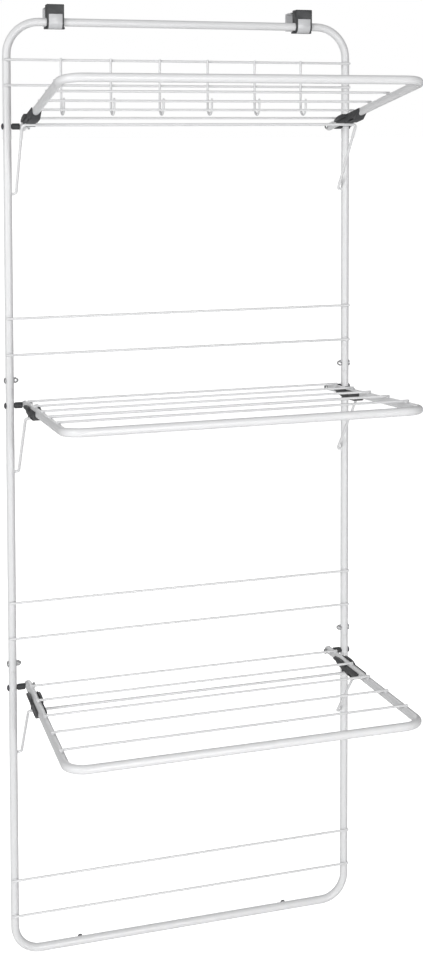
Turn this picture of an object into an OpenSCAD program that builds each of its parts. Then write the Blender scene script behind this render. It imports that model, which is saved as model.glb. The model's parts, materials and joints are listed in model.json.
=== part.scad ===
// Over-the-door clothes drying rack with three folding trays.
// Origin: top edge of the door, midway between the two door hooks, on the door's front face.
// +X is to the right, -Y is out of the door towards the user, +Z is up.

/* [Wall frame] */
// Distance between the axes of the two uprights
frame_w = 548; // [500:1:620]
// Distance between the axes of the top and bottom bars
frame_h = 1449; // [1440:1:1480]
// Outer diameter of the frame tube
tube_d = 12.7; // [12:0.1:14]
// Wall thickness of every steel tube
tube_wall = 0.8; // [0.6:0.1:1.2]
// Bend radius of the two upper corners
top_bend = 50; // [40:1:60]
// Bend radius of the two lower corners
bottom_bend = 40; // [30:1:50]
// Depth of each pair of frame joint bolts below the top bar
joint_drops = [548, 990]; // [500:1:1000]
// Distance from a joint bolt down to the end of the outer tube
joint_lap = 12; // [8:1:16]

/* [Hanger rail and back wires] */
// Diameter of the rail and back wires
back_wire_d = 3.8; // [3:0.1:4]
// Diameter of the garment hook wires
hook_wire_d = 3.6; // [3:0.1:3.8]
// Depth of the two rail wires below the top bar
rail_drops = [58, 96.5]; // [50:0.5:100]
// Depth of the lowest point of a garment hook below the top bar
garment_hook_drop = 141; // [136:0.5:141]
// Distance from the long leg to the short leg of a garment hook
garment_hook_reach = 25; // [20:1:28]
// Height of the straight part of the short leg
garment_hook_tip = 11; // [6:1:14]
// Distance from one garment hook to the next
garment_hook_pitch = 77.2; // [70:0.1:78]
// Depth of the six back wires below the top bar
back_wire_drops = [452, 508, 893, 949, 1332, 1389]; // [440:1:1400]

/* [Trays] */
// Depth of the three tray pivots below the top bar
pivot_drops = [159, 587, 1028]; // [150:1:1030]
// Upward tilt of each open tray
tray_tilts = [9.4, 5.5, 5.5]; // [5:0.1:10]
// Outer diameter of the tray tube
tray_tube_d = 12; // [12:0.1:12.4]
// Distance between the axes of the two tray arms
tray_w = 498; // [496:1:500]
// Distance from the pivot to the axis of the front bar
arm_length = 379; // [360:1:382]
// Length of arm behind the pivot
arm_tail = 9.5; // [9:0.5:10]
// Bend radius of the tray's front corners
tray_bend = 28; // [20:1:34]
// Diameter of the tray wires
tray_wire_d = 3.6; // [3:0.1:3.8]
// Distance from the pivot to the first tray wire
first_wire = 29.5; // [26:0.5:30]
// Distance from one tray wire to the next
wire_pitch = 72.2; // [68:0.1:72.5]

/* [Support bails] */
// Diameter of the bail wire
bail_d = 4.4; // [3.6:0.1:4.6]
// Distance from a tray's pivot down to its bail's pivot
bail_drop = 103; // [100:1:106]
// Distance between the axes of the bail's two legs
bail_w = 523.2; // [522:0.1:524]
// Distance along the arm from the pivot to the front notch
front_notch = 86; // [84:0.5:88]
// Depth of the bail's rod below the arm's axis
notch_depth = 11; // [11:0.1:11.2]

/* [Brackets] */
// Thickness of the bracket's side walls
bracket_wall = 1.2; // [1.2:0.1:2.2]
// Distance along the arm to the bracket's rear and front ends
bracket_span = [42, 145]; // [40:1:150]

/* [Door hooks] */
// Distance from the middle of the rack to each hook
hook_x = 200; // [120:1:205]
// Thickness of the door that the hooks fit over
door_gap = 42; // [36:1:46]
// Width of the steel strap
strap_w = 21; // [18:0.5:24]
// Thickness of the steel strap
strap_t = 1.8; // [1.5:0.1:2]
// Width of the plastic sleeve over the strap
sleeve_w = 26; // [24:0.5:28]
// Thickness of the sleeve outside the strap
sleeve_t = 1.8; // [1.6:0.1:2]
// Thickness of the sleeve between the strap and the door
pad_t = 1; // [0.8:0.1:1.4]
// Depth of the top bar's axis below the top of the door
seat_drop = 22.4; // [20:0.1:24]
// Height of the clip in front of the top bar, above the bar's axis
clip_h = 12; // [10:0.5:13]
// Length of the strap behind the door
strap_leg = 26; // [24:1:70]

/* [Fasteners] */
// Diameter of every bolt
bolt_d = 5; // [4.5:0.1:5.2]
// Diameter of the bolt heads
head_d = 9.5; // [9:0.1:10]
// Height of the bolt heads
head_h = 2.8; // [2.4:0.1:3]
// Width of the nuts across their flats
nut_af = 8; // [7.8:0.1:8.4]

/* [Hidden] */
$fn = 48;
SIDES = [-1, 1];
SIDE_NAMES = ["left", "right"];
WHITE = "whitesmoke";
DARK = "dimgray";

garment_hooks = 6;
tray_wires = 5;
BACK_WIRES = [1:len(back_wire_drops)];
TRAYS = [1:len(pivot_drops)];

tube_r = tube_d / 2;
tray_tube_r = tray_tube_d / 2;
tube_bore_r = tube_r - tube_wall;
tray_bore_r = tray_tube_r - tube_wall;
upright_x = frame_w / 2;
arm_x = tray_w / 2;
bail_x = bail_w / 2;

slide_gap = 0.3;
fit_gap = 0.05;
cradle_r = tube_r + slide_gap;
strap_in_r = cradle_r + sleeve_t;
strap_out_r = strap_in_r + strap_t;
frame_y = -(strap_out_r + pad_t);
top_z = -seat_drop;

spigot_r = tube_bore_r - 0.1;
spigot_h = 30;
shoulder_gap = 0.3;
hole_clear = 0.1;

wire_y = -(tube_r + back_wire_d / 2);
wire_end_inset = 2;
tray_wire_past = 1;
hook_wire_y = wire_y - (back_wire_d + hook_wire_d) / 2;

bolt_r = bolt_d / 2;
pivot_hole_r = bolt_r + fit_gap;
bail_hole_r = bail_d / 2 + fit_gap;
bail_bend = 6;
bail_pin_bend = 4;
bail_pin_depth = 4.4;

notch_r = bail_d / 2 + slide_gap;
bracket_gap = 0.1;
bracket_half_w = tray_tube_r + bracket_gap + bracket_wall;

buffer_x = 170;

// Point in a tray's side view, s along the arm and h above its axis, for an arm tilted up by tilt.
function on_arm(s, h, tilt) = [-s * cos(tilt) + h * sin(tilt), s * sin(tilt) + h * cos(tilt)];

// The two lower trays rest in the front notch, which settles the bail's length.
low_tilt = tray_tilts[1];
high_tilt = tray_tilts[0];
low_rod = on_arm(front_notch, -notch_depth, low_tilt);
bail_length = norm([low_rod[0], low_rod[1] + bail_drop]);

// Where the same bail meets the bracket at another tilt.
function notch_at(tilt) =
    let (k = bail_drop * sin(tilt))
    sqrt(k * k + bail_length * bail_length - notch_depth * notch_depth
         - bail_drop * bail_drop + 2 * bail_drop * notch_depth * cos(tilt)) - k;
rear_notch = notch_at(high_tilt);

function notch_of(i) = tray_tilts[i] == low_tilt ? front_notch : rear_notch;
function rod_of(i) = on_arm(notch_of(i), -notch_depth, tray_tilts[i]);
function bail_angle(i) = atan2(-rod_of(i)[0], rod_of(i)[1] + bail_drop);

// ---- Shared shapes ----

// Moves the children to the frame's plane, at the given depth below the top bar.
module at_drop(drop, x = 0) {
    translate([x, frame_y, top_z - drop]) children();
}

// Cylinder along X, centred.
module bar_x(r, length) {
    rotate([0, 90, 0]) cylinder(r = r, h = length, center = true);
}

// Quarter of a ring that joins a leg at +X to a crossbar at +Z.
module quarter_bend(bend, r) {
    rotate([90, 0, 0]) rotate_extrude(angle = 90) translate([bend, 0]) circle(r = r);
}

// Round bar bent into a U: the crossbar is on the X axis and the legs point down.
module u_bar(width, leg, bend, r) {
    straight = width / 2 - bend;
    bar_x(r, 2 * straight);
    for (side = [0, 1]) mirror([side, 0, 0]) {
        translate([straight, 0, -bend]) quarter_bend(bend, r);
        translate([width / 2, 0, -leg]) cylinder(r = r, h = leg - bend);
    }
}

// The same U as a tube, open at the ends of its legs.
module u_tube(width, leg, bend, r, bore_r) {
    difference() {
        u_bar(width, leg, bend, r);
        u_bar(width, leg + 1, bend, bore_r);
    }
}

// Bolt along +X from its head's seat at the origin: the head points to -X.
module bolt(length) {
    dome_r = head_d * 0.75;
    rotate([0, 90, 0]) cylinder(r = bolt_r, h = length);
    intersection() {
        translate([-head_h, 0, 0]) rotate([0, 90, 0]) cylinder(r = head_d / 2, h = head_h);
        translate([dome_r - head_h, 0, 0]) sphere(r = dome_r);
    }
}

// Domed nut on +X from its seat at the origin, bored for the bolt.
module domed_nut() {
    hex_h = 3.6;
    bore_h = 3.2;
    dome_r = nut_af / 2 - 0.4;
    difference() {
        union() {
            rotate([0, 90, 0]) cylinder(r = nut_af / 2 / cos(30), h = hex_h, $fn = 6);
            translate([hex_h, 0, 0]) intersection() {
                sphere(r = dome_r);
                translate([0, -nut_af, -nut_af]) cube(nut_af * 2);
            }
        }
        translate([-1, 0, 0]) rotate([0, 90, 0]) cylinder(r = bolt_r, h = bore_h + 1);
    }
}

// Places the children at both uprights, with +X pointing to the middle of the rack.
module at_uprights(drop) {
    at_drop(drop, -upright_x) children();
    at_drop(drop, upright_x) mirror([1, 0, 0]) children();
}

// ---- Wall frame ----

module bolt_holes(drop) {
    at_drop(drop) bar_x(bolt_r + hole_clear, frame_w + 2 * tube_d);
}

// Holes in the inner walls of the uprights for the bails' ends.
module bail_holes(drop) {
    at_uprights(drop) rotate([0, 90, 0]) cylinder(r = bail_hole_r, h = tube_d);
}

module upper_frame_tube() {
    color(WHITE) difference() {
        at_drop(0) u_tube(frame_w, joint_drops[0] + joint_lap, top_bend, tube_r, tube_bore_r);
        bolt_holes(pivot_drops[0]);
        bail_holes(pivot_drops[0] + bail_drop);
        bolt_holes(joint_drops[0]);
    }
}

// Reduced end of a tube that plugs into the tube above it.
module spigot() {
    difference() {
        cylinder(r = spigot_r, h = spigot_h);
        translate([0, 0, -1]) cylinder(r = spigot_r - tube_wall, h = spigot_h + 2);
    }
}

// Step of solid wall between a full tube and its spigot.
module shoulder() {
    difference() {
        cylinder(r = tube_r, h = tube_wall);
        translate([0, 0, -1]) cylinder(r = spigot_r - tube_wall, h = tube_wall + 2);
    }
}

module middle_upright(side) {
    upper_end = joint_drops[0] + joint_lap + shoulder_gap;
    lower_end = joint_drops[1] + joint_lap;
    tube_h = lower_end - upper_end - tube_wall;
    color(WHITE) difference() {
        union() {
            at_drop(lower_end, side * upright_x) difference() {
                cylinder(r = tube_r, h = tube_h);
                translate([0, 0, -1]) cylinder(r = tube_bore_r, h = tube_h + 1);
            }
            at_drop(upper_end + tube_wall, side * upright_x) shoulder();
            at_drop(upper_end, side * upright_x) spigot();
        }
        bolt_holes(joint_drops[0]);
        bolt_holes(pivot_drops[1]);
        bail_holes(pivot_drops[1] + bail_drop);
        bolt_holes(joint_drops[1]);
    }
}

module lower_frame_tube() {
    upper_end = joint_drops[1] + joint_lap + shoulder_gap;
    leg = frame_h - upper_end - tube_wall;
    color(WHITE) difference() {
        union() {
            at_drop(frame_h) mirror([0, 0, 1]) u_tube(frame_w, leg, bottom_bend, tube_r, tube_bore_r);
            for (side = SIDES) {
                at_drop(upper_end + tube_wall, side * upright_x) shoulder();
                at_drop(upper_end, side * upright_x) spigot();
            }
        }
        bolt_holes(joint_drops[1]);
        bolt_holes(pivot_drops[2]);
        bail_holes(pivot_drops[2] + bail_drop);
    }
}

// ---- Hanger rail and back wires ----

module frame_wire(drop) {
    color(WHITE) at_drop(drop) translate([0, wire_y, 0])
        bar_x(back_wire_d / 2, frame_w + tube_d - 2 * wire_end_inset);
}

module garment_hook(i) {
    r = hook_wire_d / 2;
    bend = garment_hook_reach / 2;
    bend_drop = garment_hook_drop - bend;
    long_leg = bend_drop - rail_drops[0] + back_wire_d / 2;
    x = (i - (garment_hooks + 1) / 2) * garment_hook_pitch;
    color(WHITE) at_drop(bend_drop, x) translate([0, hook_wire_y, 0]) {
        cylinder(r = r, h = long_leg);
        translate([0, -bend, 0]) rotate([-90, 0, 90])
            rotate_extrude(angle = 180) translate([bend, 0]) circle(r = r);
        translate([0, -2 * bend, 0]) {
            cylinder(r = r, h = garment_hook_tip);
            translate([0, 0, garment_hook_tip]) sphere(r = r);
        }
    }
}

// ---- Trays ----

// Moves the children from a tray's own frame, pivot at the origin and arms along -Y, into place.
module at_tray(i) {
    at_drop(pivot_drops[i]) rotate([-tray_tilts[i], 0, 0]) children();
}

module tray_frame(i) {
    color(WHITE) at_tray(i) difference() {
        translate([0, -arm_length, 0]) rotate([90, 0, 0])
            u_tube(tray_w, arm_length + arm_tail, tray_bend, tray_tube_r, tray_bore_r);
        bar_x(pivot_hole_r, tray_w + 2 * tray_tube_d);
    }
}

module tray_wire(i, number) {
    reach = first_wire + (number - 1) * wire_pitch;
    color(WHITE) at_tray(i) translate([0, -reach, tray_tube_r + tray_wire_d / 2])
        bar_x(tray_wire_d / 2, tray_w + 2 * tray_wire_past);
}

module tray_end_plugs(i) {
    cap_h = 2.2;
    cap_top_r = 0.7 * tray_tube_r;
    plug_depth = 5;
    color(WHITE) at_tray(i) for (side = SIDES) translate([side * arm_x, arm_tail, 0])
    rotate([-90, 0, 0]) {
        cylinder(r1 = tray_tube_r, r2 = cap_top_r, h = cap_h);
        translate([0, 0, -plug_depth]) cylinder(r = tray_bore_r, h = plug_depth);
    }
}

// Side outline of a bracket, as points along the arm and above its axis.
module bracket_outline() {
    rear = bracket_span[0];
    front = bracket_span[1];
    heel = rear_notch - notch_r;
    toe = front_notch + notch_r;
    lip_top = 3.8;
    rear_low = -1;
    belly = [-6.5, -8.5];
    heel_bottom = -13;
    heel_w = 4;
    notch_bottom = -9.5;
    nose_bottom = -10.8;
    step = 1;
    slope = 10;
    nose = 20;
    ramp = 8;
    polygon([
        [-rear, lip_top], [-rear, rear_low], [-(rear + slope), belly[0]],
        [-(heel - heel_w - step), belly[1]], [-(heel - heel_w), heel_bottom],
        [-(heel - step), heel_bottom], [-heel, heel_bottom + step], [-heel, notch_bottom],
        [-toe, notch_bottom], [-(toe + ramp), nose_bottom], [-(front - nose), nose_bottom],
        [-front, rear_low], [-front, lip_top]
    ]);
}

// Side outline of the wings that stiffen the rear half of a bracket.
module wing_outline() {
    rear = bracket_span[0];
    wing_bottom = -1;
    wing_top = 6;
    wing_shoulder = 4.6;
    wing_ends = [2, 2.8];
    polygon([
        [-rear, wing_bottom], [-rear, wing_ends[0]], [-(rear + 8), wing_shoulder],
        [-(rear + 18), wing_top], [-(rear + 36), wing_top], [-(rear + 44), wing_shoulder],
        [-(rear + 49), wing_ends[1]], [-(rear + 49), wing_bottom]
    ]);
}

// Saddle under a tray's arm, with two notches that the bail's rod can rest in.
module tray_bracket(i, side) {
    wing_half_w = 9.8;
    pocket_at = 110;
    pocket_w = 18;
    pocket_h = 2.4;
    pocket_depth = 2.5;
    pocket_z = -8.6;
    color(DARK) at_tray(i) translate([side * arm_x, 0, 0]) difference() {
        rotate([90, 0, 90]) {
            linear_extrude(height = 2 * bracket_half_w, center = true) bracket_outline();
            linear_extrude(height = 2 * wing_half_w, center = true) wing_outline();
        }
        translate([0, -bracket_span[0] + 1, 0]) rotate([90, 0, 0])
            cylinder(r = tray_tube_r + bracket_gap, h = bracket_span[1]);
        translate([-(tray_tube_r + bracket_gap), -bracket_span[1] - 1, 0])
            cube([2 * (tray_tube_r + bracket_gap), bracket_span[1], tray_tube_d]);
        for (notch = [rear_notch, front_notch])
            translate([0, -notch, -notch_depth]) bar_x(notch_r, 3 * bracket_half_w);
        for (face = SIDES)
            translate([face * bracket_half_w, -pocket_at, pocket_z])
                cube([2 * pocket_depth, pocket_w, pocket_h], center = true);
    }
}

// ---- Support bails ----

module support_bail(i) {
    r = bail_d / 2;
    pin_h = upright_x - tube_bore_r + bail_pin_depth - bail_x - bail_pin_bend;
    color(WHITE) at_drop(pivot_drops[i] + bail_drop) rotate([bail_angle(i), 0, 0]) {
        translate([0, 0, bail_length]) u_bar(bail_w, bail_length - bail_pin_bend, bail_bend, r);
        for (side = [0, 1]) mirror([side, 0, 0]) translate([bail_x + bail_pin_bend, 0, 0]) {
            translate([0, 0, bail_pin_bend]) mirror([1, 0, 0]) mirror([0, 0, 1])
                quarter_bend(bail_pin_bend, r);
            rotate([0, 90, 0]) cylinder(r = r, h = pin_h);
        }
    }
}

// ---- Fasteners ----

// Bolts of the four frame joints, with their heads outside the uprights.
module joint_bolts() {
    thread_out = 3;
    color("silver") for (drop = joint_drops) at_uprights(drop)
        translate([-tube_r, 0, 0]) bolt(tube_d + thread_out);
}

module joint_nuts() {
    color("silver") for (drop = joint_drops) at_uprights(drop) translate([tube_r, 0, 0]) domed_nut();
}

module pivot_bolts() {
    thread_out = 3.8;
    length = upright_x + tube_r - (arm_x - tray_tube_r) + thread_out;
    color(DARK) for (drop = pivot_drops) at_uprights(drop) translate([-tube_r, 0, 0]) bolt(length);
}

// Thin nuts on the inner sides of the arms.
module pivot_nuts() {
    nut_h = 3;
    seat = upright_x - arm_x + tray_tube_r + slide_gap;
    color("silver") for (drop = pivot_drops) at_uprights(drop) difference() {
        translate([seat, 0, 0]) rotate([0, 90, 0])
            cylinder(r = nut_af / 2 / cos(30), h = nut_h, $fn = 6);
        bar_x(bolt_r, 4 * seat);
    }
}

// Plastic spacers between the uprights and the arms, each with a narrow neck at its upright.
module pivot_spacers() {
    spacer_r = 4.8;
    neck_r = 3.8;
    neck_h = 1.5;
    end = upright_x - arm_x - tray_tube_r - slide_gap;
    color(DARK) for (drop = pivot_drops) at_uprights(drop) difference() {
        rotate([0, 90, 0]) union() {
            cylinder(r = neck_r, h = end);
            translate([0, 0, tube_r + neck_h])
                cylinder(r = spacer_r, h = end - tube_r - neck_h);
        }
        cylinder(r = tube_r, h = 3 * tube_d, center = true);
        bar_x(bolt_r, 4 * end);
    }
}

// Rubber studs behind the bottom bar that keep it off the door.
module door_buffers() {
    buffer_r = 3.9;
    color("gray") at_drop(frame_h) for (side = SIDES) translate([side * buffer_x, 0, 0])
    difference() {
        rotate([-90, 0, 0]) cylinder(r = buffer_r, h = -frame_y);
        bar_x(tube_r, 3 * buffer_r);
    }
}

// ---- Door hooks ----

// Side view of a hook, in Y and Z. A band of the given thickness covers the bridge and both legs,
// from inset to inset + t outside the door's outline.
module hook_band(inset, t, front_z, back_z) {
    corner = 0.5;
    r = inset + t + corner;
    low_z = min(front_z, back_z);
    outer_y = -(inset + t);
    width = door_gap + 2 * (inset + t);
    difference() {
        union() {
            translate([outer_y, front_z]) square([width / 2, -front_z + inset + t - r]);
            translate([outer_y + width / 2, back_z]) square([width / 2, -back_z + inset + t - r]);
            translate([outer_y + r, inset + t - r]) square([width - 2 * r, r]);
            for (y = [outer_y + r, outer_y + width - r]) translate([y, inset + t - r]) circle(r = r);
        }
        translate([-inset, low_z - 1]) square([door_gap + 2 * inset, inset - low_z + 1]);
    }
}

// Side view of the cradle under the top bar, between two radii, with an upright front lip.
module cradle_band(in_r, out_r, lip_z) {
    translate([frame_y, top_z]) {
        difference() {
            circle(r = out_r);
            circle(r = in_r);
            translate([-2 * out_r, 0]) square([4 * out_r, 2 * out_r]);
        }
        translate([-out_r, 0]) square([out_r - in_r, lip_z]);
    }
}

module strap_outline() {
    hook_band(pad_t, strap_t, top_z, -strap_leg);
    cradle_band(strap_in_r, strap_out_r, clip_h);
}

// Solid block over the top bar, flush with the strap's front lip.
module hook_head() {
    front_y = frame_y - strap_out_r;
    head_top = pad_t + strap_t + sleeve_t;
    corner = 2;
    translate([front_y, top_z]) square([-front_y, head_top - top_z - corner]);
    translate([front_y + corner, top_z]) square([-front_y - corner, head_top - top_z]);
    translate([front_y + corner, head_top - corner]) circle(r = corner);
}

module sleeve_outline() {
    cheek_z = top_z - cradle_r;
    leg_t = pad_t + strap_t + sleeve_t;
    seat_reach = 10;
    translate([-leg_t, cheek_z]) square([leg_t, -cheek_z]);
    translate([-leg_t, 0]) square([leg_t + seat_reach, pad_t]);
    cradle_band(cradle_r, strap_out_r, clip_h);
    hook_head();
}

// Extrudes a side view across X, centred on a hook.
module across_hook(side, width) {
    translate([side * hook_x, 0, 0]) rotate([90, 0, 90])
        linear_extrude(height = width, center = true) children();
}

module door_hook(side) {
    color("lightgray") across_hook(side, strap_w) strap_outline();
}

module hook_sleeve(side) {
    foot = 2.5;
    foot_h = 3;
    color(DARK) difference() {
        union() {
            across_hook(side, sleeve_w) sleeve_outline();
            translate([side * hook_x - sleeve_w / 2 - foot, frame_y, top_z - strap_out_r])
                cube([sleeve_w + 2 * foot, strap_out_r, foot_h]);
        }
        across_hook(side, strap_w) strap_outline();
        translate([side * hook_x, frame_y, top_z]) bar_x(cradle_r, 2 * sleeve_w);
        translate([side * hook_x - strap_w / 2, frame_y - strap_out_r - 1, top_z - strap_out_r - 1])
            cube([strap_w, strap_out_r, strap_out_r - cradle_r]);
    }
}

// ---- Nodes ----

upper_frame_tube();
middle_upright(-1);  // middle_upright_left
middle_upright(1);  // middle_upright_right
lower_frame_tube();
frame_wire(rail_drops[0]);  // rail_wire_upper
frame_wire(rail_drops[1]);  // rail_wire_lower
for (i = [1:garment_hooks]) garment_hook(i);
for (i = BACK_WIRES)
    frame_wire(back_wire_drops[i - 1]);
joint_bolts();
joint_nuts();
pivot_bolts();
pivot_nuts();
pivot_spacers();
door_buffers();
for (t = TRAYS) {
    tray_frame(t - 1);
    for (w = [1:tray_wires])
        tray_wire(t - 1, w);
    for (s = [0, 1]) tray_bracket(t - 1, SIDES[s]);
    tray_end_plugs(t - 1);
    support_bail(t - 1);
}
for (s = [0, 1]) {
    door_hook(SIDES[s]);
    hook_sleeve(SIDES[s]);
}
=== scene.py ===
"""Looks of the over-the-door clothes drying rack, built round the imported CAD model."""

import json
import math
import random

import bmesh
import bpy
from mathutils import Euler, Matrix, Vector

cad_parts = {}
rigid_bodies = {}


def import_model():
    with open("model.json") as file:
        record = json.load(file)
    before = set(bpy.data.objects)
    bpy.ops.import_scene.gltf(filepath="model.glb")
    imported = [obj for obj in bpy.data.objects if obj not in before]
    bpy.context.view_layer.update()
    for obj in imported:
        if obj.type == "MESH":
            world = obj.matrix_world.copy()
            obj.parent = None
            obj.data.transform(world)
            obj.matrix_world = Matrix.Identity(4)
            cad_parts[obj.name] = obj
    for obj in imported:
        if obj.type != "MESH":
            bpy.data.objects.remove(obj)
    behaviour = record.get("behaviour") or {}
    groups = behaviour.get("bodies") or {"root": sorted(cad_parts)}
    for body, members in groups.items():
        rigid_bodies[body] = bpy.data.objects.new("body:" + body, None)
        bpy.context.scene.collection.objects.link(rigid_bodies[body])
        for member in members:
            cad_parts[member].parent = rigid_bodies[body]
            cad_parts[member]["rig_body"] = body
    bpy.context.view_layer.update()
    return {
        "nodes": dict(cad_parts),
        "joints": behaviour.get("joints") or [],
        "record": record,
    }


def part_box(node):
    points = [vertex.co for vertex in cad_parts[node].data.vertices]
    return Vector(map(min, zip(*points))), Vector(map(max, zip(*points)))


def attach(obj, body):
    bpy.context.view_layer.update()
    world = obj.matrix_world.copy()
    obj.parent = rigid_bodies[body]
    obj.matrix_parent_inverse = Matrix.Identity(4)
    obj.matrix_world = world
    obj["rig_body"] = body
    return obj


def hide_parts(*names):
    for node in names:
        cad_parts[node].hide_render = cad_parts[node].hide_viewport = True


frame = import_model()
nodes = frame["nodes"]

MM = 0.001
TRAYS = (1, 2, 3)
SIDES = ("left", "right")
TRAY_WIRES = range(1, 6)
RAIL_WIRES = ["rail_wire_upper", "rail_wire_lower"]
BACK_WIRES = [f"back_wire_{i}" for i in range(1, 7)]
GARMENT_HOOKS = [f"garment_hook_{i}" for i in range(1, 7)]


# ---- Materials ----

# Numbers of a Mix node's sockets when it mixes colours.
MIX_FACTOR, MIX_A, MIX_B, MIX_RESULT = 0, 6, 7, 2


def rgba(colour):
    """An opaque colour from a grey level or an (r, g, b) tuple."""
    return (*colour, 1.0) if isinstance(colour, tuple) else (colour, colour, colour, 1.0)


class Graph:
    """A node material, built with short calls."""

    def __init__(self, name):
        self.material = bpy.data.materials.new(name)
        self.material.use_nodes = True
        self.tree = self.material.node_tree
        self.shader = self.tree.nodes["Principled BSDF"]
        self.place = self.add("ShaderNodeTexCoord").outputs["Object"]

    def add(self, kind, **values):
        made = self.tree.nodes.new(kind)
        for key, value in values.items():
            setattr(made, key, value)
        return made

    def link(self, source, target):
        self.tree.links.new(source, target)

    def set(self, **values):
        for key, value in values.items():
            self.shader.inputs[key.replace("_", " ")].default_value = value

    def noise(self, scale, detail, roughness=0.5, stretch=None):
        place = self.place
        if stretch:
            mapping = self.add("ShaderNodeMapping")
            mapping.inputs["Scale"].default_value = stretch
            self.link(place, mapping.inputs["Vector"])
            place = mapping.outputs["Vector"]
        made = self.add("ShaderNodeTexNoise")
        made.inputs["Scale"].default_value = scale
        made.inputs["Detail"].default_value = detail
        made.inputs["Roughness"].default_value = roughness
        self.link(place, made.inputs["Vector"])
        return made.outputs["Fac"]

    def cells(self, scale):
        made = self.add("ShaderNodeTexVoronoi")
        made.inputs["Scale"].default_value = scale
        self.link(self.place, made.inputs["Vector"])
        return made

    def ramp(self, factor, stops):
        made = self.add("ShaderNodeValToRGB")
        while len(made.color_ramp.elements) < len(stops):
            made.color_ramp.elements.new(0.5)
        for element, (position, colour) in zip(made.color_ramp.elements, stops):
            element.position = position
            element.color = rgba(colour)
        self.link(factor, made.inputs["Fac"])
        return made.outputs["Color"]

    def spread(self, factor, low, high):
        made = self.add("ShaderNodeMapRange")
        made.inputs["To Min"].default_value = low
        made.inputs["To Max"].default_value = high
        self.link(factor, made.inputs["Value"])
        return made.outputs["Result"]

    def mix(self, factor, a, b, blend="MIX"):
        made = self.add("ShaderNodeMix", data_type="RGBA", blend_type=blend)
        for number, value in ((MIX_FACTOR, factor), (MIX_A, a), (MIX_B, b)):
            socket = made.inputs[number]
            if isinstance(value, (float, int)):
                socket.default_value = value
            elif isinstance(value, tuple):
                socket.default_value = rgba(value)
            else:
                self.link(value, socket)
        return made.outputs[MIX_RESULT]

    def rough(self, factor, low, high):
        self.link(self.spread(factor, low, high), self.shader.inputs["Roughness"])

    def paint(self, tone):
        self.link(tone, self.shader.inputs["Base Color"])

    def bumps(self, *layers):
        """Each layer is (height, depth in metres, strength)."""
        normal = None
        for height, depth, strength in layers:
            bump = self.add("ShaderNodeBump")
            bump.inputs["Distance"].default_value = depth
            bump.inputs["Strength"].default_value = strength
            self.link(height, bump.inputs["Height"])
            if normal is not None:
                self.link(normal, bump.inputs["Normal"])
            normal = bump.outputs["Normal"]
        self.link(normal, self.shader.inputs["Normal"])


def powder_coat(name, colour, shade, grain, peel, wear):
    """Painted steel. Grain is its roughness, peel its unevenness, wear how far scuffs show."""
    bare_steel = (0.42, 0.43, 0.44)
    unevenness = 0.07
    g = Graph(name)
    tone = g.mix(g.spread(g.noise(5.0, 2.0), 0.25, 0.75), colour, shade)
    specks = g.ramp(g.noise(1400.0, 1.0), [(0.30, 0.90), (0.42, 1.0)])
    tone = g.mix(0.35, tone, specks, "MULTIPLY")
    scuffs = g.noise(90.0, 5.0, 0.7, stretch=(0.25, 1.0, 1.0))
    g.paint(g.mix(g.ramp(scuffs, [(0.64, 0.0), (0.72, wear)]), tone, bare_steel))
    g.rough(g.noise(60.0, 4.0), grain - unevenness, grain + unevenness)
    g.set(IOR=1.5, Coat_Weight=0.12, Coat_Roughness=0.18, Coat_IOR=1.5)
    g.bumps((g.noise(700.0, 2.0), 0.04 * MM, peel), (g.noise(2600.0, 1.0), 0.008 * MM, peel))
    return g.material


def moulded_plastic(name, colour, scuff, grain=0.5):
    """Grained plastic. Scuffs lighten it in patches, and grain is its roughness."""
    lighten = 2.2
    g = Graph(name)
    tone = g.mix(g.spread(g.noise(22.0, 3.0), 0.0, 0.6), colour, scuff)
    streaks = g.noise(420.0, 4.0, 0.65, stretch=(1.0, 0.35, 1.0))
    flecks = g.ramp(streaks, [(0.62, 0.0), (0.74, 0.35)])
    g.paint(g.mix(flecks, tone, tuple(min(1.0, lighten * c) for c in scuff)))
    g.rough(g.noise(150.0, 4.0), grain - 0.1, grain + 0.12)
    g.set(IOR=1.49)
    texture = g.cells(1500.0).outputs["Distance"]
    g.bumps((texture, 0.05 * MM, 0.5), (g.noise(180.0, 2.0), 0.06 * MM, 0.3))
    return g.material


def plated_steel(name, bright, dull, grain):
    """Plated steel with faint spangles. Grain is its roughness."""
    g = Graph(name)
    spangle = g.cells(900.0).outputs["Color"]
    tone = g.mix(g.spread(g.noise(260.0, 5.0, 0.6), 0.1, 0.9), bright, dull)
    g.paint(g.mix(0.10, tone, spangle, "SOFT_LIGHT"))
    g.rough(g.noise(380.0, 5.0), grain - 0.1, grain + 0.14)
    g.set(Metallic=1.0)
    brushed = g.noise(1200.0, 4.0, 0.6, stretch=(1.0, 1.0, 6.0))
    g.bumps((brushed, 0.03 * MM, 0.4))
    return g.material


def rubber(name, colour, dust):
    """Matt rubber with dust in its pores."""
    g = Graph(name)
    g.paint(g.ramp(g.noise(120.0, 6.0, 0.7), [(0.45, colour), (0.75, dust)]))
    g.rough(g.noise(300.0, 3.0), 0.62, 0.85)
    g.bumps((g.noise(1600.0, 3.0), 0.06 * MM, 0.6))
    return g.material


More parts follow.
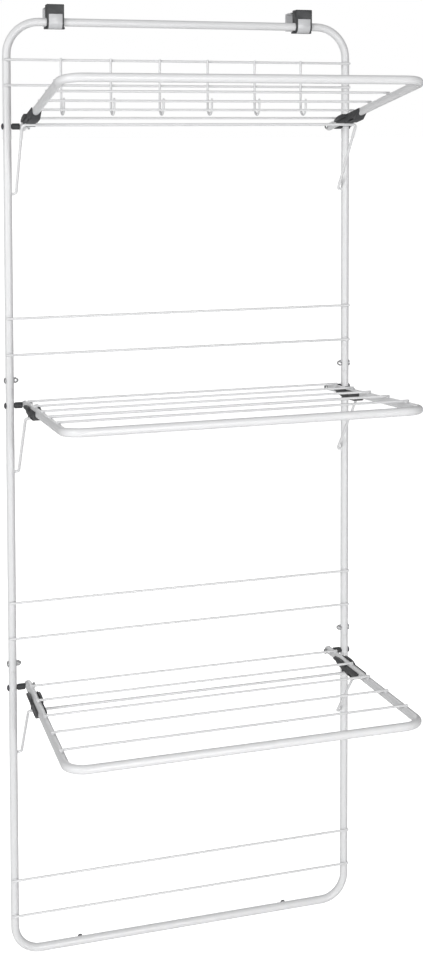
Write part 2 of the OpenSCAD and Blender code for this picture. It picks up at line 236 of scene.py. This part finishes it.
MATERIALS = {
    "white_powder_coat": powder_coat(
        "white_powder_coat", (0.78, 0.78, 0.785), (0.735, 0.74, 0.75), 0.36, 0.5, 0.06
    ),
    "grey_painted_steel": powder_coat(
        "grey_painted_steel", (0.66, 0.665, 0.675), (0.59, 0.595, 0.61), 0.33, 0.35, 0.30
    ),
    "dark_grey_plastic": moulded_plastic(
        "dark_grey_plastic", (0.034, 0.035, 0.037), (0.070, 0.072, 0.077)
    ),
    "light_grey_plastic": moulded_plastic(
        "light_grey_plastic", (0.66, 0.66, 0.665), (0.60, 0.605, 0.61), 0.4
    ),
    "zinc_plated_steel": plated_steel(
        "zinc_plated_steel", (0.74, 0.74, 0.73), (0.50, 0.51, 0.53), 0.30
    ),
    "dark_zinc_steel": plated_steel(
        "dark_zinc_steel", (0.17, 0.17, 0.18), (0.09, 0.09, 0.10), 0.38
    ),
    "grey_rubber": rubber("grey_rubber", (0.20, 0.20, 0.205), (0.30, 0.30, 0.31)),
}


# ---- Pieces ----

MERGE_DISTANCE = 0.002 * MM
FLAT_ANGLE = math.radians(0.4)
EDGE_ANGLE = math.radians(32.0)
SHARP_ANGLE = math.radians(50.0)
# How many waves of unevenness run round a lump
WAVES = 4


def slot_of(node):
    for sub in frame["record"]["subparts"]:
        if sub["node"] == node:
            return sub["material_slot"]
    raise KeyError(node)


def new_piece(name, mesh, body, slot):
    piece = bpy.data.objects.new(name, mesh)
    bpy.context.scene.collection.objects.link(piece)
    mesh.materials.clear()
    mesh.materials.append(MATERIALS[slot])
    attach(piece, body)
    return piece


def applied(mesh, kind, settings):
    """The mesh after a modifier of the given kind."""
    holder = bpy.data.objects.new("holder", mesh)
    bpy.context.scene.collection.objects.link(holder)
    modifier = holder.modifiers.new(kind.lower(), kind)
    for key, value in settings.items():
        setattr(modifier, key, value)
    evaluated = holder.evaluated_get(bpy.context.evaluated_depsgraph_get())
    result = bpy.data.meshes.new_from_object(evaluated)
    bpy.data.objects.remove(holder)
    return result


def clean_copy(node):
    """The node's mesh with its split corners joined and its flat faces whole."""
    bm = bmesh.new()
    bm.from_mesh(nodes[node].data)
    bmesh.ops.remove_doubles(bm, verts=bm.verts, dist=MERGE_DISTANCE)
    bmesh.ops.dissolve_limit(bm, angle_limit=FLAT_ANGLE, verts=bm.verts, edges=bm.edges)
    mesh = bpy.data.meshes.new(node + "_mesh")
    bm.to_mesh(mesh)
    bm.free()
    return mesh


def softened(mesh, width, segments):
    """The mesh with its edges rounded to the given width, in metres."""
    settings = {
        "width": width,
        "segments": segments,
        "limit_method": "ANGLE",
        "angle_limit": EDGE_ANGLE,
        "use_clamp_overlap": True,
        "harden_normals": True,
    }
    result = applied(mesh, "BEVEL", settings)
    result.shade_smooth()
    result.set_sharp_from_angle(angle=SHARP_ANGLE)
    return result


def finish_node(node, width, cuts=(), segments=3):
    """Replaces a CAD node with a copy that has rounded edges, and recesses where cuts says."""
    mesh = clean_copy(node)
    if cuts:
        cutter = bpy.data.objects.new("cutter", joined("cutter_mesh", cuts))
        bpy.context.scene.collection.objects.link(cutter)
        settings = {"object": cutter, "operation": "DIFFERENCE", "solver": "EXACT"}
        mesh = applied(mesh, "BOOLEAN", settings)
        bpy.data.objects.remove(cutter)
    mesh = softened(mesh, width, segments)
    piece = new_piece(node + "_finished", mesh, nodes[node]["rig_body"], slot_of(node))
    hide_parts(node)


def joined(name, parts):
    """One mesh from (points, faces) pairs, each a closed shape."""
    points, faces = [], []
    for part_points, part_faces in parts:
        start = len(points)
        points.extend(part_points)
        faces.extend([tuple(start + i for i in face) for face in part_faces])
    mesh = bpy.data.meshes.new(name)
    mesh.from_pydata(points, [], faces)
    bm = bmesh.new()
    bm.from_mesh(mesh)
    bmesh.ops.recalc_face_normals(bm, faces=bm.faces)
    bm.to_mesh(mesh)
    bm.free()
    return mesh


def blob(place, size, seed, rings=10, around=18, unevenness=0.07):
    """A closed, slightly uneven lump. Place is a 4x4 matrix, and size its three half lengths."""
    draw = random.Random(seed)
    waves = []
    for _ in range(WAVES):
        phase, weight = draw.uniform(0, math.tau), draw.uniform(-1, 1)
        waves.append((phase, weight, draw.randint(2, 4)))
    points = []

    def point(polar, turn):
        across = math.sin(polar)
        swell = 1.0 + unevenness * sum(
            weight * math.sin(count * turn + phase) * across for phase, weight, count in waves
        )
        unit = (across * math.cos(turn), across * math.sin(turn), math.cos(polar))
        points.append(place @ Vector([swell * s * u for s, u in zip(size, unit)]))

    point(0.0, 0.0)
    for ring in range(1, rings):
        for step in range(around):
            point(math.pi * ring / rings, math.tau * step / around)
    point(math.pi, 0.0)
    last = len(points) - 1
    faces = [(0, 1 + step, 1 + (step + 1) % around) for step in range(around)]
    for ring in range(rings - 2):
        a, b = 1 + ring * around, 1 + (ring + 1) * around
        for step in range(around):
            after = (step + 1) % around
            faces.append((a + step, b + step, b + after, a + after))
    base = 1 + (rings - 2) * around
    faces += [(base + step, last, base + (step + 1) % around) for step in range(around)]
    return points, faces


def cross_recess(place, length, width, depth):
    """A cross that widens along the place's +Z, to cut a recess."""
    taper = 0.45
    points = []
    for z, reach in ((-depth, taper * length), (depth, length)):
        a, b = reach / 2, width / 2
        outline = [(a, -b), (a, b), (b, b), (b, a), (-b, a), (-b, b)]
        outline += [(-a, b), (-a, -b), (-b, -b), (-b, -a), (b, -a), (b, -b)]
        points += [place @ Vector((x, y, z)) for x, y in outline]
    count = len(points) // 2
    faces = [tuple(reversed(range(count))), tuple(range(count, 2 * count))]
    faces += [(i, (i + 1) % count, count + (i + 1) % count, count + i) for i in range(count)]
    return points, faces


def centre(node):
    low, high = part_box(node)
    return (low + high) / 2


def frame_of(origin, x_axis, z_axis):
    """A matrix with the given origin, X and Z directions."""
    x = Vector(x_axis).normalized()
    z = Vector(z_axis).normalized()
    y = z.cross(x)
    made = Matrix((x, y, z)).transposed().to_4x4()
    made.translation = origin
    return made


# ---- Where things are ----

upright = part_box("middle_upright_left")
upright_x = -(upright[0].x + upright[1].x) / 2
frame_y = (upright[0].y + upright[1].y) / 2
pivots = {j["child"]: Vector(j["pos_m"]) for j in frame["joints"] if j["type"] == "hinge"}

# ---- Weld beads ----

# Each bead is (how far it reaches past the wire, half its length along the wire, its height).
BACK_BEAD = (1.5 * MM, 3.0 * MM, 1.5 * MM)
HOOK_BEAD = (1.0 * MM, 2.2 * MM, 1.0 * MM)
TRAY_BEAD = (1.4 * MM, 2.8 * MM, 1.4 * MM)
# Distance from a tray wire's end back to its weld on the arm
TRAY_WELD_INSET = 2.0 * MM

seeds = iter(range(1000))


def weld(parts, contact, wire_axis, outward, wire_r, bead):
    """A bead at the point where a wire lies on a tube or on another wire."""
    past, along, height = bead
    place = frame_of(contact, wire_axis, outward)
    parts.append(blob(place, (along, wire_r + past, height), next(seeds)))


def wire_end(parts, tip, wire_axis, outward, wire_r):
    """The melted, rounded end of a wire."""
    end_length = 1.5 * MM
    swollen_r = wire_r * 1.06
    size = (end_length, swollen_r, swollen_r)
    place = frame_of(tip, wire_axis, outward)
    parts.append(blob(place, size, next(seeds), rings=8, around=14, unevenness=0.04))


def add_welds(name, body, parts):
    mesh = joined(name + "_mesh", parts)
    mesh.shade_smooth()
    new_piece(name, mesh, body, "white_powder_coat")


beads = []
for wire in RAIL_WIRES + BACK_WIRES:
    low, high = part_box(wire)
    middle, radius = (low + high) / 2, (high.z - low.z) / 2
    for side in (-1, 1):
        contact = Vector((side * upright_x, middle.y + radius, middle.z))
        weld(beads, contact, (1, 0, 0), (0, -1, 0), radius, BACK_BEAD)
        tip = Vector((side * high.x, middle.y, middle.z))
        wire_end(beads, tip, (1, 0, 0), (0, -1, 0), radius)
for hook in GARMENT_HOOKS:
    low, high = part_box(hook)
    hook_x, radius = (low.x + high.x) / 2, (high.x - low.x) / 2
    for rail in RAIL_WIRES:
        contact = Vector((hook_x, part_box(rail)[0].y, centre(rail).z))
        weld(beads, contact, (0, 0, 1), (0, -1, 0), radius, HOOK_BEAD)
    top = Vector((hook_x, high.y - radius, high.z))
    wire_end(beads, top, (0, 0, 1), (0, -1, 0), radius)
add_welds("frame_weld_beads", "frame", beads)

for t in TRAYS:
    beads = []
    first, last = (centre(f"tray_{t}_wire_{w}") for w in (TRAY_WIRES[0], TRAY_WIRES[-1]))
    arm = (last - first).normalized()
    up = -Vector((1, 0, 0)).cross(arm)
    for w in TRAY_WIRES:
        low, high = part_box(f"tray_{t}_wire_{w}")
        middle, radius = (low + high) / 2, (high.z - low.z) / 2
        for side in (-1, 1):
            arm_x = side * (high.x - TRAY_WELD_INSET)
            contact = Vector((arm_x, middle.y, middle.z)) - up * radius
            weld(beads, contact, (1, 0, 0), up, radius, TRAY_BEAD)
            tip = Vector((side * high.x, middle.y, middle.z))
            wire_end(beads, tip, (1, 0, 0), up, radius)
    add_welds(f"tray_{t}_weld_beads", f"tray_{t}", beads)

# ---- Plastic, rubber and fasteners, with rounded edges ----

BRACKET_EDGE = 0.35 * MM
PLUG_EDGE = 0.4 * MM
SLEEVE_EDGE = 0.4 * MM
STRAP_EDGE = 0.35 * MM
SPACER_EDGE = 0.35 * MM
RUBBER_EDGE = 0.5 * MM
NUT_EDGE = 0.3 * MM
HEAD_EDGE = 0.2 * MM

for t in TRAYS:
    for side in SIDES:
        finish_node(f"tray_{t}_bracket_{side}", BRACKET_EDGE)
    finish_node(f"tray_{t}_end_plugs", PLUG_EDGE)
for side in SIDES:
    finish_node(f"hook_sleeve_{side}", SLEEVE_EDGE)
    finish_node(f"door_hook_{side}", STRAP_EDGE)
finish_node("pivot_spacers", SPACER_EDGE)
finish_node("door_buffers", RUBBER_EDGE)
finish_node("joint_nuts", NUT_EDGE)
finish_node("pivot_nuts", NUT_EDGE)

# Distance from a joint bolt down to the end of the tube above the joint
JOINT_LAP = 12 * MM
RECESS_LENGTH = 5.0 * MM
RECESS_WIDTH = 1.2 * MM
RECESS_DEPTH = 1.4 * MM
RECESS_AXIS = (0, 0.94, 0.34)

joint_tubes = ("upper_frame_tube", "middle_upright_left")
heads = {
    "joint_bolts": [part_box(tube)[0].z + JOINT_LAP for tube in joint_tubes],
    "pivot_bolts": [pivots[f"tray_{t}"].z for t in TRAYS],
}
for node, heights in heads.items():
    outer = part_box(node)[1].x
    cuts = []
    for z in heights:
        for side in (-1, 1):
            place = frame_of(Vector((side * outer, frame_y, z)), RECESS_AXIS, (side, 0, 0))
            cuts.append(cross_recess(place, RECESS_LENGTH, RECESS_WIDTH, RECESS_DEPTH))
    finish_node(node, HEAD_EDGE, cuts, segments=2)

for name, thing in nodes.items():
    thing.data.materials.clear()
    thing.data.materials.append(MATERIALS[slot_of(name)])

# ---- Stage ----

DOOR_HEIGHT = 2.03
FLOOR_HALF = 200.0
FLOOR_GLOW = 0.95
FLOOR_COLOUR = (0.90, 0.90, 0.90)
FLOOR_SHADE = tuple(0.985 * c for c in FLOOR_COLOUR)
LIT_BY_WORLD = 0.30
SEEN_WORLD = 1.0
PURE_WHITE = (1.0, 1.0, 1.0, 1.0)
# The point that the lights face
MIDDLE = (0.0, -0.1, -0.75)
# Each light is (name, place, size, power in watts).
LIGHTS = (
    ("key_light", (-2.6, -1.9, 0.1), (1.4, 2.4), 50),
    ("fill_light", (0.3, -3.1, -0.5), (0.9, 2.2), 42),
    ("top_light", (0.0, -0.6, 2.4), (2.0, 1.4), 5),
    ("back_light", (0.6, 3.2, -0.3), (1.5, 2.4), 15),
)


def camera_only(tree, seen, other, target):
    """Shows one shader to the eye and another to the light that bounces."""
    path = tree.nodes.new("ShaderNodeLightPath")
    choose = tree.nodes.new("ShaderNodeMixShader")
    tree.links.new(path.outputs["Is Camera Ray"], choose.inputs["Fac"])
    tree.links.new(other, choose.inputs[1])
    tree.links.new(seen, choose.inputs[2])
    tree.links.new(choose.outputs["Shader"], target)


def floor_material():
    """A pale floor that glows to the eye, so that no horizon shows against the world."""
    g = Graph("pale_floor")
    g.paint(g.mix(g.spread(g.noise(1.3, 3.0), 0.3, 0.7), FLOOR_COLOUR, FLOOR_SHADE))
    g.rough(g.noise(4.0, 3.0), 0.75, 0.85)
    glow = g.add("ShaderNodeEmission")
    glow.inputs["Strength"].default_value = FLOOR_GLOW
    both = g.add("ShaderNodeAddShader")
    g.link(g.shader.outputs["BSDF"], both.inputs[0])
    g.link(glow.outputs["Emission"], both.inputs[1])
    target = g.tree.nodes["Material Output"].inputs["Surface"]
    camera_only(g.tree, both.outputs["Shader"], g.shader.outputs["BSDF"], target)
    return g.material


def softbox(name, place, size, power):
    light = bpy.data.lights.new(name, "AREA")
    light.shape = "RECTANGLE"
    light.size, light.size_y = size
    light.energy = power
    thing = bpy.data.objects.new(name, light)
    thing.location = place
    thing.rotation_mode = "QUATERNION"
    thing.rotation_quaternion = (Vector(MIDDLE) - Vector(place)).to_track_quat("-Z", "Y")
    bpy.context.scene.collection.objects.link(thing)


def background(tree, strength, node=None):
    """The output of a white Background node, which is made unless it is given."""
    node = node or tree.nodes.new("ShaderNodeBackground")
    node.inputs["Color"].default_value = PURE_WHITE
    node.inputs["Strength"].default_value = strength
    return node.outputs["Background"]


floor_mesh = bpy.data.meshes.new("floor_mesh")
around_floor = ((-1, -1), (1, -1), (1, 1), (-1, 1))
corners = [(x * FLOOR_HALF, y * FLOOR_HALF, -DOOR_HEIGHT) for x, y in around_floor]
floor_mesh.from_pydata(corners, [], [(0, 1, 2, 3)])
floor = bpy.data.objects.new("floor", floor_mesh)
bpy.context.scene.collection.objects.link(floor)
floor_mesh.materials.append(floor_material())

for name, place, size, power in LIGHTS:
    softbox(name, place, size, power)

world = bpy.data.worlds.new("studio")
bpy.context.scene.world = world
world.use_nodes = True
sky = world.node_tree
dim = background(sky, LIT_BY_WORLD, sky.nodes["Background"])
bright = background(sky, SEEN_WORLD)
camera_only(sky, bright, dim, sky.nodes["World Output"].inputs["Surface"])

bpy.context.scene.view_settings.view_transform = "Standard"

# ---- Camera ----

CAMERA_PLACE = (-0.5254, -2.1085, -0.1825)
CAMERA_YAW = 16.24
CAMERA_PITCH = -2.85
CAMERA_ROLL = -0.11
CAMERA_LENS = 51.36
CAMERA_SENSOR = 36.0
CAMERA_SHIFT = (-0.0238, -0.2969)

lens = bpy.data.cameras.new("camera")
lens.sensor_width = CAMERA_SENSOR
lens.lens = CAMERA_LENS
lens.shift_x, lens.shift_y = CAMERA_SHIFT
camera = bpy.data.objects.new("camera", lens)
camera.location = CAMERA_PLACE
turn = (math.radians(90 + CAMERA_PITCH), 0.0, -math.radians(CAMERA_YAW))
aim = Euler(turn, "XYZ").to_matrix()
roll = Matrix.Rotation(math.radians(CAMERA_ROLL), 3, "Z")
camera.rotation_mode = "QUATERNION"
camera.rotation_quaternion = (aim @ roll).to_quaternion()
bpy.context.scene.collection.objects.link(camera)
bpy.context.scene.camera = camera
